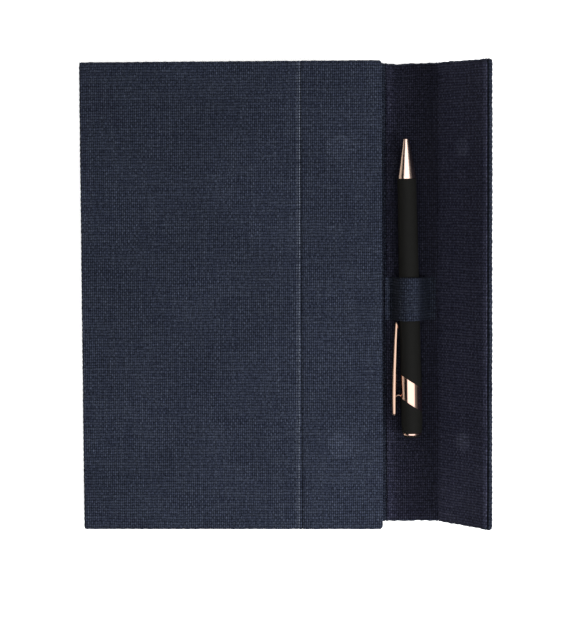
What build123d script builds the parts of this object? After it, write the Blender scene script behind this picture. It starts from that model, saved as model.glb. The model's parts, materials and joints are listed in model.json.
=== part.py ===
from build123d import *
import math
import os

# Pilot logbook: a cloth-covered hard notebook with a fold-over magnetic flap and a pen in a loop.
# Millimetres. Origin at the centre of the back cover's underside, +Z up through the book,
# +Y towards the head of the pages, +X from the spine towards the flap. Each part is written where it
# lies with the book closed, the flap turned out to the side and its panel propped up.

# Overall sizes
COVER_W = 140.0  # spine to fore-edge
COVER_H = 218.0  # head to tail
BOOK_T = 24.0  # both covers and the pages between them
HALF_W = COVER_W / 2
HALF_H = COVER_H / 2
GUSSET_HALF_H = HALF_H - 0.8  # the gusset is a little shorter than the covers
CORNER_R = 1.6  # rounded corners at the free edges
SPINE_CORNER_R = 1.0

# Layers of a covered board
CLOTH = 0.5  # linen book-cloth round the outside
LINING = 0.4  # paper or cloth pasted inside
COVER_BOARD = 2.2
GUSSET_BOARD = 0.8
FLAP_BOARD = 1.0
COVER_T = CLOTH + COVER_BOARD + LINING
GUSSET_T = CLOTH + GUSSET_BOARD + LINING
FLAP_T = CLOTH + FLAP_BOARD + LINING
PAPER_INSET = 3.0  # pastedown back from the cover's edges
CLOTH_INSET = 1.2  # cloth lining back from the edges

# Folds
CREASE_X = 31.6  # fold line between the front board and its fore-edge strip
CREASE_GAP = 0.6  # board edge to fold line, each side
HINGE_Z = CLOTH / 2  # both flap folds turn on the outer cloth
HINGE_GAP = 0.3
HINGE_A_X = 71.9  # back cover to gusset
FLAP_SINK = 0.2  # how far the closed flap panel presses down below its free height
HINGE_B_X = HINGE_A_X + BOOK_T + FLAP_T - FLAP_SINK  # gusset to flap panel, which clears the closed cover
GUSSET_END = HINGE_B_X - FLAP_T - HINGE_GAP
FLAP_W = 35.4  # from hinge B to the panel's free edge
FLAP_REST_ANGLE = 49.0  # the panel's rise above the table

# Magnets under the cloth
MAGNET_Y = 69.3
MAGNET_T = 1.0
FRONT_MAGNET_X = 50.4
FRONT_MAGNET_R = 6.0
FLAP_MAGNET_REACH = 17.5  # from hinge B along the panel
FLAP_MAGNET_R = 4.6

# Pages
SPINE_HINGE_GAP = 0.5  # bare cloth between the spine and the front cover
PAGE_GAP = 0.4  # pages to the spine's board, and to the front cover
SPINE_TOP = BOOK_T - COVER_T - SPINE_HINGE_GAP
PAGE_X0 = -HALF_W + COVER_T + PAGE_GAP
PAGE_X1 = 57.5  # set back from the covers, so that the pen fits beside the pages
PAGE_Y = 106.0
FLYLEAF_T = 0.3
BLOCK_Z0 = COVER_T + FLYLEAF_T
BLOCK_TOP = BOOK_T - COVER_T - PAGE_GAP
FRONT_FLYLEAVES_T = 0.5
TURNING_SIGNATURE_T = 1.9
LEAF_GAP = 0.1
FIXED_SIGNATURES = 6
SIGNATURE_FOLD_R = 0.8
MULL_INSET = 4.0  # gauze back from the ends of the pages
END_BAND_R = 0.9

# Pen, measured along its own axis from the middle of the loop, the nose towards +Y
PEN_X = 83.0
PEN_Y = -2.8
PEN_Z = 7.1
PEN_LEAN = 1.05  # degrees, nose towards the spine
NOSE_TIP = 75.9
NOSE_BASE = 57.2
NOSE_BASE_R = 4.25
NOSE_TIP_R = 1.3
NOSE_SPIGOT = 6.0  # how far the nose reaches into the front barrel
NOSE_BORE_R = 1.9
POINT_BORE_R = 1.4
POINT_BORE_DEPTH = 7.5
TIP_BORE_R = 0.75
TIP_BORE_DEPTH = 2.8
BARREL_FRONT_R = 4.43
BARREL_MIDDLE_R = 4.75
BARREL_REAR_R = 5.0
BARREL_END_R = 4.6
BARREL_BORE_R = 3.05
BARREL_FULL_Y = -45.0  # the rear barrel is at its full radius from here
BARREL_TAPER_Y = -58.0  # to here, where it also closes
BARREL_END = -62.9
JOINT_GAP = 0.15
CENTRE_RING_END = 1.2
CENTRE_RING_R = BARREL_MIDDLE_R + 0.05
END_RING_R = 4.5
END_RING_Y = -63.8
END_CAP_STEM_R = 1.5
END_CAP_R = 4.2
END_CAP_FACE_R = 3.6
PEN_END = -64.8
TWIST_R = 3.0
TWIST_REAR = -40.0
TWIST_FRONT = 18.0
TWIST_BORE_FLOOR = 2.0
REFILL_R = 1.6
REFILL_FIT = 0.1
REFILL_REAR = 5.0
REFILL_TIP_Y = NOSE_TIP - 1.0  # retracted, inside the nose
POINT_LENGTH = 11.0
POINT_SHANK = 4.0
POINT_SHANK_R = 1.15
POINT_R = 0.55
POINT_SHOULDER = 1.0
BALL_LENGTH = 0.8
BALL_R = 0.2
BAND_TOP = -38.5
BAND_BOTTOM = -49.0
BAND_SLANT = 0.67  # fall along the axis for each millimetre to the right
BAND_INNER_R = 4.55
BAND_OUTER_R = 5.08
CLIP_HALF_WIDTH = 1.7
CLIP_BEAD_R = 0.95
CLIP_BEAD = (-5.9, -12.2)
CLIP_ROOT_X = (-7.9, -4.75)
CLIP_ROOT_Y = (-45.5, -44.3)
CLIP_ROOT_HALF_WIDTH = 1.3

# Pen loop
LOOP_Y = -2.2
LOOP_HALF_LENGTH = 10.1
LOOP_T = 0.6
LOOP_R = 5.2  # inside radius over the pen
LOOP_LEFT = 7.5  # pen axis to where the band leaves the gusset, on the spine side
LOOP_RIGHT = 8.8
LOOP_X0 = HINGE_A_X + HINGE_GAP + 0.1
LOOP_X1 = GUSSET_END - 0.1


def block(x0, x1, y0, y1, z0, z1):
    """A box between two corners."""
    return Pos((x0 + x1) / 2, (y0 + y1) / 2, (z0 + z1) / 2) * Box(x1 - x0, y1 - y0, z1 - z0)


def plate(x0, x1, half_y, z0, z1, left_r=0.0, right_r=0.0):
    """A flat plate, centred on Y, with the corners of either side rounded."""
    solid = block(x0, x1, -half_y, half_y, z0, z1)
    for side, radius in ((x0, left_r), (x1, right_r)):
        if radius:
            upright = solid.edges().filter_by(Axis.Z)
            corners = upright.filter_by(lambda e, at=side: abs(e.center().X - at) < 0.01)
            solid = fillet(corners, radius)
    return solid


def covered_board(x0, x1, board, left_free, right_free, inset, half_h=HALF_H):
    """A board lying with its outer face on z = 0, as its cloth, its board and its lining.

    A free side has its cloth wrapped round it. At the other sides the cloth runs on into a fold.
    """
    board_top = CLOTH + board
    left_wrap = CLOTH if left_free else 0.0
    right_wrap = CLOTH if right_free else 0.0
    left_r = SPINE_CORNER_R if left_free else 0.0
    right_r = CORNER_R if right_free else 0.0
    core = plate(
        x0 + left_wrap, x1 - right_wrap, half_h - CLOTH, CLOTH, board_top,
        max(left_r - CLOTH, 0), max(right_r - CLOTH, 0),
    )
    lining = plate(
        x0 + (inset if left_free else 0), x1 - (inset if right_free else 0),
        half_h - inset, board_top, board_top + LINING,
    )
    skin = plate(x0, x1, half_h, 0, board_top + LINING, left_r, right_r)
    return skin - core - lining, core, lining


def disc(x, y, radius, z0, z1):
    """A flat disc with an upright axis."""
    return Pos(x, y, (z0 + z1) / 2) * Cylinder(radius, z1 - z0)


def face_up(solid):
    """Turns a board built face down over, to be the top of the closed book."""
    return Pos(0, 0, BOOK_T) * Rot(180, 0, 0) * solid


def turned(points):
    """A turned part with its axis on Y, from (radius, y) points."""
    return revolve(make_face(Polyline(*points, close=True)), Axis.Y, 360)


def pair(shape_at):
    """The same shape at both magnet positions."""
    return [shape_at(y) for y in (-MAGNET_Y, MAGNET_Y)]


def back_cover():
    """Back board in its cloth, with the paper pasted inside it."""
    skin, core, lining = covered_board(-HALF_W, HALF_W, COVER_BOARD, True, True, PAPER_INSET)
    return {"back_cloth": skin, "back_board": core, "rear_pastedown": lining}


def spine():
    """Square spine, standing on the back cover: cloth outside, board, and gauze glued to the pages."""
    board_x0 = -HALF_W + CLOTH
    board_x1 = board_x0 + COVER_BOARD
    core = block(board_x0, board_x1, -HALF_H + CLOTH, HALF_H - CLOTH, COVER_T, SPINE_TOP)
    skin = block(-HALF_W, board_x1, -HALF_H, HALF_H, COVER_T, SPINE_TOP) - core
    mull_y = PAGE_Y - MULL_INSET
    mull = block(board_x1, PAGE_X0, -mull_y, mull_y, BLOCK_Z0, fixed_top())
    return {"spine_cloth": skin, "spine_board": core, "spine_mull": mull}


def fixed_top():
    """Height of the pages that stay down when the book is opened."""
    return BLOCK_TOP - FRONT_FLYLEAVES_T - 2 * TURNING_SIGNATURE_T - 3 * LEAF_GAP


def leaves(z0, z1):
    """Sheets folded together at the spine."""
    solid = block(PAGE_X0, PAGE_X1, -PAGE_Y, PAGE_Y, z0, z1)
    folds = solid.edges().filter_by(Axis.Y).filter_by(lambda e: abs(e.center().X - PAGE_X0) < 0.01)
    return fillet(folds, min(SIGNATURE_FOLD_R, (z1 - z0) * 0.4))


def pages():
    """Flyleaves and sewn signatures, the top ones free to turn over with the front cover."""
    parts = {"rear_flyleaf": block(PAGE_X0, PAGE_X1, -PAGE_Y, PAGE_Y, COVER_T, BLOCK_Z0)}
    pitch = (fixed_top() - BLOCK_Z0) / FIXED_SIGNATURES
    for n in range(FIXED_SIGNATURES):
        parts[f"signature_{n + 1}"] = leaves(BLOCK_Z0 + n * pitch, BLOCK_Z0 + (n + 1) * pitch)
    z0 = fixed_top() + LEAF_GAP
    for n in (FIXED_SIGNATURES + 1, FIXED_SIGNATURES + 2):
        parts[f"signature_{n}"] = leaves(z0, z0 + TURNING_SIGNATURE_T)
        z0 += TURNING_SIGNATURE_T + LEAF_GAP
    parts["front_flyleaves"] = leaves(z0, BLOCK_TOP)
    return parts


def end_bands():
    """Rolled bands glued over the ends of the pages' folds, at the head and the tail."""
    return {
        name: disc(PAGE_X0 + END_BAND_R, side * (PAGE_Y + END_BAND_R), END_BAND_R, BLOCK_Z0, fixed_top())
        for name, side in (("head_band", 1), ("tail_band", -1))
    }


def front_cover():
    """Front board, from the spine to the crease, and the fore-edge strip that folds on the crease."""
    skin, core, lining = covered_board(
        -HALF_W, CREASE_X - CREASE_GAP, COVER_BOARD, True, False, PAPER_INSET
    )
    parts = {"front_cloth": skin, "front_board": core, "front_pastedown": lining}
    skin, core, lining = covered_board(
        CREASE_X + CREASE_GAP, HALF_W, COVER_BOARD, False, True, CLOTH_INSET
    )
    magnets = pair(lambda y: disc(FRONT_MAGNET_X, y, FRONT_MAGNET_R, CLOTH, CLOTH + MAGNET_T))
    for magnet in magnets:
        core -= magnet
    parts |= {"strip_cloth": skin, "strip_board": core, "strip_lining": lining}
    parts["front_magnets"] = Compound(children=magnets)
    return {name: face_up(solid) for name, solid in parts.items()}


def gusset():
    """Side wall of the closed book, which lies flat on the table when the flap is turned out."""
    skin, core, lining = covered_board(
        HINGE_A_X + HINGE_GAP, GUSSET_END, GUSSET_BOARD, False, False, CLOTH_INSET, GUSSET_HALF_H
    )
    loop = pen_loop()
    return {
        "gusset_cloth": skin,
        "gusset_board": core,
        "gusset_lining": lining - loop,
        "pen_loop": loop,
    }


def loop_side(radius, foot, height):
    """Angle at the pen's axis, above level, where a straight run from a foot meets the arch."""
    drop = PEN_Z - height
    return math.acos(radius / math.hypot(foot, drop)) - math.atan2(drop, foot)


def loop_edge(radius, left_foot, right_foot, height):
    """One face of the loop's cloth in section: flat foot, up and over the pen, down to the other foot."""
    left = loop_side(radius, left_foot, height)
    right = loop_side(radius, right_foot, height)
    left_touch = (PEN_X - radius * math.cos(left), PEN_Z + radius * math.sin(left))
    right_touch = (PEN_X + radius * math.cos(right), PEN_Z + radius * math.sin(right))
    return [
        Line((LOOP_X0, height), (PEN_X - left_foot, height)),
        Line((PEN_X - left_foot, height), left_touch),
        ThreePointArc(left_touch, (PEN_X, PEN_Z + radius), right_touch),
        Line(right_touch, (PEN_X + right_foot, height)),
        Line((PEN_X + right_foot, height), (LOOP_X1, height)),
    ]


def pen_loop():
    """Cloth band across the gusset, tucked under its lining at both feet and arched over the pen."""
    foot_z = GUSSET_T - LINING
    top_z = foot_z + LOOP_T
    flare = LOOP_T / 2
    inner = loop_edge(LOOP_R, LOOP_LEFT, LOOP_RIGHT, foot_z)
    outer = loop_edge(LOOP_R + LOOP_T, LOOP_LEFT + flare, LOOP_RIGHT + flare, top_z)
    ends = [Line((x, foot_z), (x, top_z)) for x in (LOOP_X0, LOOP_X1)]
    outline = Wire([edge for line in inner + outer + ends for edge in line.edges()])
    band = extrude(Plane.XZ * Face(outline), LOOP_HALF_LENGTH, both=True)
    return Pos(0, LOOP_Y, 0) * band


def on_flap(solid):
    """Swings a part built on the flat flap up to the panel's resting slope."""
    hinge = Axis((HINGE_B_X, 0, HINGE_Z), (0, -1, 0))
    return solid.rotate(hinge, FLAP_REST_ANGLE)


def flap():
    """Panel that folds over the front strip, with magnets under its inner cloth."""
    skin, core, lining = covered_board(
        HINGE_B_X + HINGE_GAP, HINGE_B_X + FLAP_W, FLAP_BOARD, False, True, CLOTH_INSET
    )
    top = CLOTH + FLAP_BOARD
    magnet_x = HINGE_B_X + FLAP_MAGNET_REACH
    magnets = pair(lambda y: disc(magnet_x, y, FLAP_MAGNET_R, top - MAGNET_T, top))
    for magnet in magnets:
        core -= magnet
    parts = {"flap_cloth": skin, "flap_board": core, "flap_lining": lining}
    parts["flap_magnets"] = Compound(children=magnets)
    return {name: on_flap(solid) for name, solid in parts.items()}


def slanted_band(inner_r, outer_r):
    """A sleeve with its ends cut on parallel slants."""
    reach = outer_r + 1
    rise = BAND_SLANT * reach
    sleeve = turned([(inner_r, BAND_TOP + rise), (outer_r, BAND_TOP + rise),
                     (outer_r, BAND_BOTTOM - rise), (inner_r, BAND_BOTTOM - rise)])
    outline = Polyline(
        (-reach, BAND_BOTTOM + rise), (reach, BAND_BOTTOM - rise),
        (reach, BAND_TOP - rise), (-reach, BAND_TOP + rise), close=True,
    )
    return sleeve & extrude(make_face(outline), reach, both=True)


def clip_root():
    """Tab that joins the clip to the band and is let into it."""
    return block(*CLIP_ROOT_X, *CLIP_ROOT_Y, -CLIP_ROOT_HALF_WIDTH, CLIP_ROOT_HALF_WIDTH)


def pen_clip():
    """Spring clip on the pen's spine side: a leaning blade, a bead that bears on the barrel, and its root."""
    outer = [(-6.9, -10.4), (-8.0, -26.0), (-8.65, -42.0), (-8.9, -54.3)]
    inner = [(-7.5, -54.3), (-7.1, -42.0), (-6.4, -26.0), (-5.5, -10.4)]
    blade = extrude(make_face(Polyline(*outer, *inner, close=True)), CLIP_HALF_WIDTH, both=True)
    bead = Pos(*CLIP_BEAD) * Cylinder(CLIP_BEAD_R, 2 * CLIP_HALF_WIDTH)
    return blade + bead + clip_root()


def pen_rear():
    """Rear half: barrel with its band let in, clip, end ring and cap, and the twist unit."""
    barrel = turned([
        (TWIST_R, -JOINT_GAP), (BARREL_MIDDLE_R, -JOINT_GAP), (BARREL_REAR_R, BARREL_FULL_Y),
        (BARREL_REAR_R, BARREL_TAPER_Y), (BARREL_END_R, BARREL_END), (0, BARREL_END),
        (0, BARREL_TAPER_Y), (TWIST_R, BARREL_TAPER_Y),
    ])
    socket_r = REFILL_R + REFILL_FIT
    return {
        "pen_rear_barrel": barrel - slanted_band(BAND_INNER_R, BARREL_REAR_R + 1),
        "pen_band": slanted_band(BAND_INNER_R, BAND_OUTER_R) - clip_root(),
        "pen_clip": pen_clip(),
        "pen_end_ring": turned([
            (END_CAP_STEM_R, BARREL_END), (END_RING_R, BARREL_END),
            (END_RING_R, END_RING_Y), (END_CAP_STEM_R, END_RING_Y),
        ]),
        "pen_end_cap": turned([
            (0, BARREL_END), (END_CAP_STEM_R, BARREL_END), (END_CAP_STEM_R, END_RING_Y),
            (END_CAP_R, END_RING_Y), (END_CAP_FACE_R, PEN_END), (0, PEN_END),
        ]),
        "pen_twist_unit": turned([
            (0, TWIST_REAR), (TWIST_R, TWIST_REAR), (TWIST_R, TWIST_FRONT),
            (socket_r, TWIST_FRONT), (socket_r, TWIST_BORE_FLOOR), (0, TWIST_BORE_FLOOR),
        ]),
    }


def pen_front():
    """Front half, which turns on the twist unit: centre ring, barrel and nose."""
    spigot_y = NOSE_BASE - NOSE_SPIGOT
    tip_bore_y = NOSE_TIP - TIP_BORE_DEPTH
    point_bore_y = NOSE_TIP - POINT_BORE_DEPTH
    return {
        "pen_centre_ring": turned([
            (BARREL_BORE_R, 0), (CENTRE_RING_R, 0),
            (CENTRE_RING_R, CENTRE_RING_END), (BARREL_BORE_R, CENTRE_RING_END),
        ]),
        "pen_front_barrel": turned([
            (BARREL_BORE_R, CENTRE_RING_END), (BARREL_MIDDLE_R, CENTRE_RING_END),
            (BARREL_FRONT_R, NOSE_BASE), (BARREL_BORE_R, NOSE_BASE),
        ]),
        "pen_nose": turned([
            (NOSE_BORE_R, spigot_y), (BARREL_BORE_R, spigot_y), (BARREL_BORE_R, NOSE_BASE),
            (NOSE_BASE_R, NOSE_BASE), (NOSE_TIP_R, NOSE_TIP), (TIP_BORE_R, NOSE_TIP),
            (TIP_BORE_R, tip_bore_y), (POINT_BORE_R, tip_bore_y), (POINT_BORE_R, point_bore_y),
            (NOSE_BORE_R, point_bore_y),
        ]),
    }


def refill():
    """Ink tube and its metal point, drawn back into the nose."""
    shank_y = REFILL_TIP_Y - POINT_LENGTH
    shank_end = shank_y + POINT_SHANK
    return {
        "refill_tube": turned([(0, REFILL_REAR), (REFILL_R, REFILL_REAR), (REFILL_R, shank_y), (0, shank_y)]),
        "refill_point": turned([
            (0, shank_y), (POINT_SHANK_R, shank_y), (POINT_SHANK_R, shank_end),
            (POINT_R, shank_end + POINT_SHOULDER), (POINT_R, REFILL_TIP_Y - BALL_LENGTH),
            (BALL_R, REFILL_TIP_Y), (0, REFILL_TIP_Y),
        ]),
    }


def pen():
    """Twist pen, placed in the loop."""
    place = Pos(PEN_X, PEN_Y, PEN_Z) * Rot(0, 0, PEN_LEAN)
    return {name: place * solid for name, solid in (pen_rear() | pen_front() | refill()).items()}


def logbook():
    """Every piece, by name."""
    parts = {}
    for group in (back_cover, spine, pages, end_bands, front_cover, gusset, flap, pen):
        parts |= group()
    return parts


os.makedirs("parts", exist_ok=True)
for name, solid in logbook().items():
    export_step(solid, f"parts/{name}.step")
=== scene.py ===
import json
import math

import bmesh
import bpy
import numpy as np
from mathutils import Matrix, Vector


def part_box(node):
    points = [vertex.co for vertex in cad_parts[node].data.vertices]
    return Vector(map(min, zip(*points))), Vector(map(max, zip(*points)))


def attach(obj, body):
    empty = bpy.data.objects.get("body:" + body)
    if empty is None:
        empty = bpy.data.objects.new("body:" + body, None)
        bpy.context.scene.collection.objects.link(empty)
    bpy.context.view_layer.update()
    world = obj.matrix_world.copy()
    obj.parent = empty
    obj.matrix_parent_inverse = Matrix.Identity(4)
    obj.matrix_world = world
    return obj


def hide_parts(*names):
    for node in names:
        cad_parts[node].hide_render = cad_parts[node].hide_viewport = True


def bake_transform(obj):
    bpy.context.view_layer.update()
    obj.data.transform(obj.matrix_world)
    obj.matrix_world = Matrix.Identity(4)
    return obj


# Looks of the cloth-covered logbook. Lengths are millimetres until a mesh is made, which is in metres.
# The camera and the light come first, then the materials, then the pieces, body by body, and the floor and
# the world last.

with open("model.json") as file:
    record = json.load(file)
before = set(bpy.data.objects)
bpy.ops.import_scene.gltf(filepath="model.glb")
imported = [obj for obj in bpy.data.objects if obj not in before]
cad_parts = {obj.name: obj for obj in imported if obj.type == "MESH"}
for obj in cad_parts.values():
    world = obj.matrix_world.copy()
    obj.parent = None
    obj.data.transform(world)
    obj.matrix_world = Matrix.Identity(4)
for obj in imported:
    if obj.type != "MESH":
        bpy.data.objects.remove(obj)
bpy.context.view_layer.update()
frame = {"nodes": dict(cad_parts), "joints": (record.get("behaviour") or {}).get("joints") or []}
MM = 0.001

# ---------------------------- sizes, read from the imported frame


def mm_box(node):
    """Lowest and highest corner of a CAD node, in millimetres."""
    return [tuple(c / MM for c in corner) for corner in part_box(node)]


def joint(name):
    """A joint's record."""
    return next(j for j in frame["joints"] if j["name"] == name)


def joint_pos(name):
    """Where a joint turns, in millimetres."""
    return [c / MM for c in joint(name)["pos_m"]]


(X0, _, Z_FRONT0), (FRONT_X1, HALF_Y, Z_TOP) = mm_box("front_cloth")
(STRIP_X0, _, _), (X1, _, _) = mm_box("strip_cloth")
CREASE = (FRONT_X1 + STRIP_X0) / 2
COVER_T = mm_box("back_cloth")[1][2]
SPINE_X1, _, SPINE_TOP = mm_box("spine_cloth")[1]
(GUSSET_X0, _, _), (GUSSET_X1, _, GUSSET_T) = mm_box("gusset_cloth")
HINGE_B = joint_pos("flap_fold")
FLAP_SLOPE = math.radians(-joint("flap_fold")["range_deg"][0])
CLOTH_T = 0.5
LINING_T = 0.4
FLAP_T = 1.9
FLAP_REACH = 35.4
FREE_EDGE = HINGE_B[0] + FLAP_REACH
MAGNET_R = 6.0
FLAP_MARK_R = 4.6  # the flap's magnets print through smaller
MARK_EDGE = 0.6  # the raised cloth slopes down this far in and out of a magnet's edge
(MAGNET_X0, MAGNET_Y0, _), (MAGNET_X1, MAGNET_Y1, _) = mm_box("front_magnets")
MAGNET_X = (MAGNET_X0 + MAGNET_X1) / 2
MAGNET_Y = (MAGNET_Y1 - MAGNET_Y0) / 2 - MAGNET_R
FLAP_MAGNET_S = HINGE_B[0] + 17.5
PAPER_INSET = 3.0
CLOTH_INSET = 1.2
SEAM_INSET = 1.75  # the flap's inner cloth back from its free edge

# Threads of the cloth
WARP_PITCH = 0.926
WEFT_PITCH = 1.27
WOUND_PITCH = 0.75  # the thread round the head and tail bands
THREAD_WANDER = 0.0011  # how far threads stray over centimetres, in metres
THREAD_JITTER = 0.00045  # and over millimetres

# ---------------------------- camera and light

camera_data = bpy.data.cameras.new("camera")
camera_data.lens = 119.7
camera_data.sensor_width = 36.0
camera_data.clip_start = 0.01
camera_data.clip_end = 60.0
camera = bpy.data.objects.new("camera", camera_data)
camera.location = (0.0600, 0.0529, 0.9953)
camera.rotation_euler = (-0.0633, 0.0358, -0.0056)
bpy.context.scene.collection.objects.link(camera)
bpy.context.scene.camera = camera
bpy.context.scene.view_settings.view_transform = "Standard"
bpy.context.scene.view_settings.look = "None"


def area_light(name, location, target, size, power, colour=(1, 1, 1)):
    data = bpy.data.lights.new(name, "AREA")
    data.shape = "RECTANGLE"
    data.size, data.size_y = size
    data.energy = power
    data.color = colour
    light = bpy.data.objects.new(name, data)
    # It is not seen in reflections, or the pen's band would show a second highlight.
    light.visible_glossy = False
    light.location = location
    light.rotation_euler = (Vector(target) - Vector(location)).to_track_quat("-Z", "Y").to_euler()
    bpy.context.scene.collection.objects.link(light)


area_light("soft_box", (0.96, -0.46, 0.62), (0.04, 0.0, 0.0), (0.62, 0.62), 17.0)

# ---------------------------- node helpers


class Graph:
    """A material's nodes, written as expressions."""

    def __init__(self, tree):
        self.tree = tree
        tree.nodes.clear()

    def put(self, socket, value):
        if isinstance(value, bpy.types.NodeSocket):
            self.tree.links.new(value, socket)
        elif value is not None:
            socket.default_value = value

    def node(self, kind, inputs=None, **settings):
        made = self.tree.nodes.new(kind)
        for key, value in settings.items():
            setattr(made, key, value)
        for key, value in (inputs or {}).items():
            self.put(made.inputs[key], value)
        return made

    def math(self, operation, *values, clamp=False):
        made = self.node("ShaderNodeMath", operation=operation, use_clamp=clamp)
        for socket, value in zip(made.inputs, values):
            self.put(socket, value)
        return made.outputs[0]

    def add(self, a, b):
        return self.math("ADD", a, b)

    def mul(self, a, b):
        return self.math("MULTIPLY", a, b)

    def mix(self, factor, a, b):
        """a where factor is 0, b where it is 1, for colours."""
        made = self.node("ShaderNodeMix", data_type="RGBA")
        self.put(made.inputs["Factor"], factor)
        self.put(made.inputs[6], a)
        self.put(made.inputs[7], b)
        return made.outputs[2]

    def lerp(self, factor, a, b):
        """a where factor is 0, b where it is 1, for numbers."""
        made = self.node("ShaderNodeMix", data_type="FLOAT")
        self.put(made.inputs["Factor"], factor)
        self.put(made.inputs[2], a)
        self.put(made.inputs[3], b)
        return made.outputs[0]

    def scale(self, colour, factor):
        made = self.node("ShaderNodeVectorMath", operation="SCALE")
        self.put(made.inputs[0], colour)
        self.put(made.inputs["Scale"], factor)
        return made.outputs[0]

    def ramp(self, value, low, high, to_low=0.0, to_high=1.0):
        """Smooth step of value from low to high."""
        made = self.node("ShaderNodeMapRange", interpolation_type="SMOOTHSTEP")
        for key, number in (("From Min", low), ("From Max", high), ("To Min", to_low), ("To Max", to_high)):
            made.inputs[key].default_value = number
        self.put(made.inputs["Value"], value)
        return made.outputs[0]

    def combine(self, x, y, z):
        made = self.node("ShaderNodeCombineXYZ", {"X": x, "Y": y, "Z": z})
        return made.outputs[0]

    def noise(self, vector, scale, detail=2.0, roughness=0.5):
        made = self.node(
            "ShaderNodeTexNoise",
            {"Vector": vector, "Scale": scale, "Detail": detail, "Roughness": roughness},
        )
        return made.outputs["Fac"]

    def finish(self, shader):
        out = self.node("ShaderNodeOutputMaterial")
        self.tree.links.new(shader.outputs[0], out.inputs["Surface"])


def new_material(name):
    material = bpy.data.materials.new(name)
    material.use_nodes = True
    return material, Graph(material.node_tree)


def principled(g, colour, roughness, bump_height=None, bump_distance=0.0001, **sockets):
    shader = g.node("ShaderNodeBsdfPrincipled")
    g.put(shader.inputs["Base Color"], colour)
    g.put(shader.inputs["Roughness"], roughness)
    for key, value in sockets.items():
        shader.inputs[key.replace("_", " ")].default_value = value
    if bump_height is not None:
        bump = g.node("ShaderNodeBump", {"Height": bump_height, "Distance": bump_distance})
        g.tree.links.new(bump.outputs[0], shader.inputs["Normal"])
    return shader


# ---------------------------- materials

DYE = (0.0193, 0.0236, 0.0398)
PALE_THREADS = (0.160, 0.181, 0.226)
INNER_DYE = (0.0190, 0.0200, 0.0368)
CREASE_SKEW = 0.006  # the pale line leans this much across its length


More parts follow.
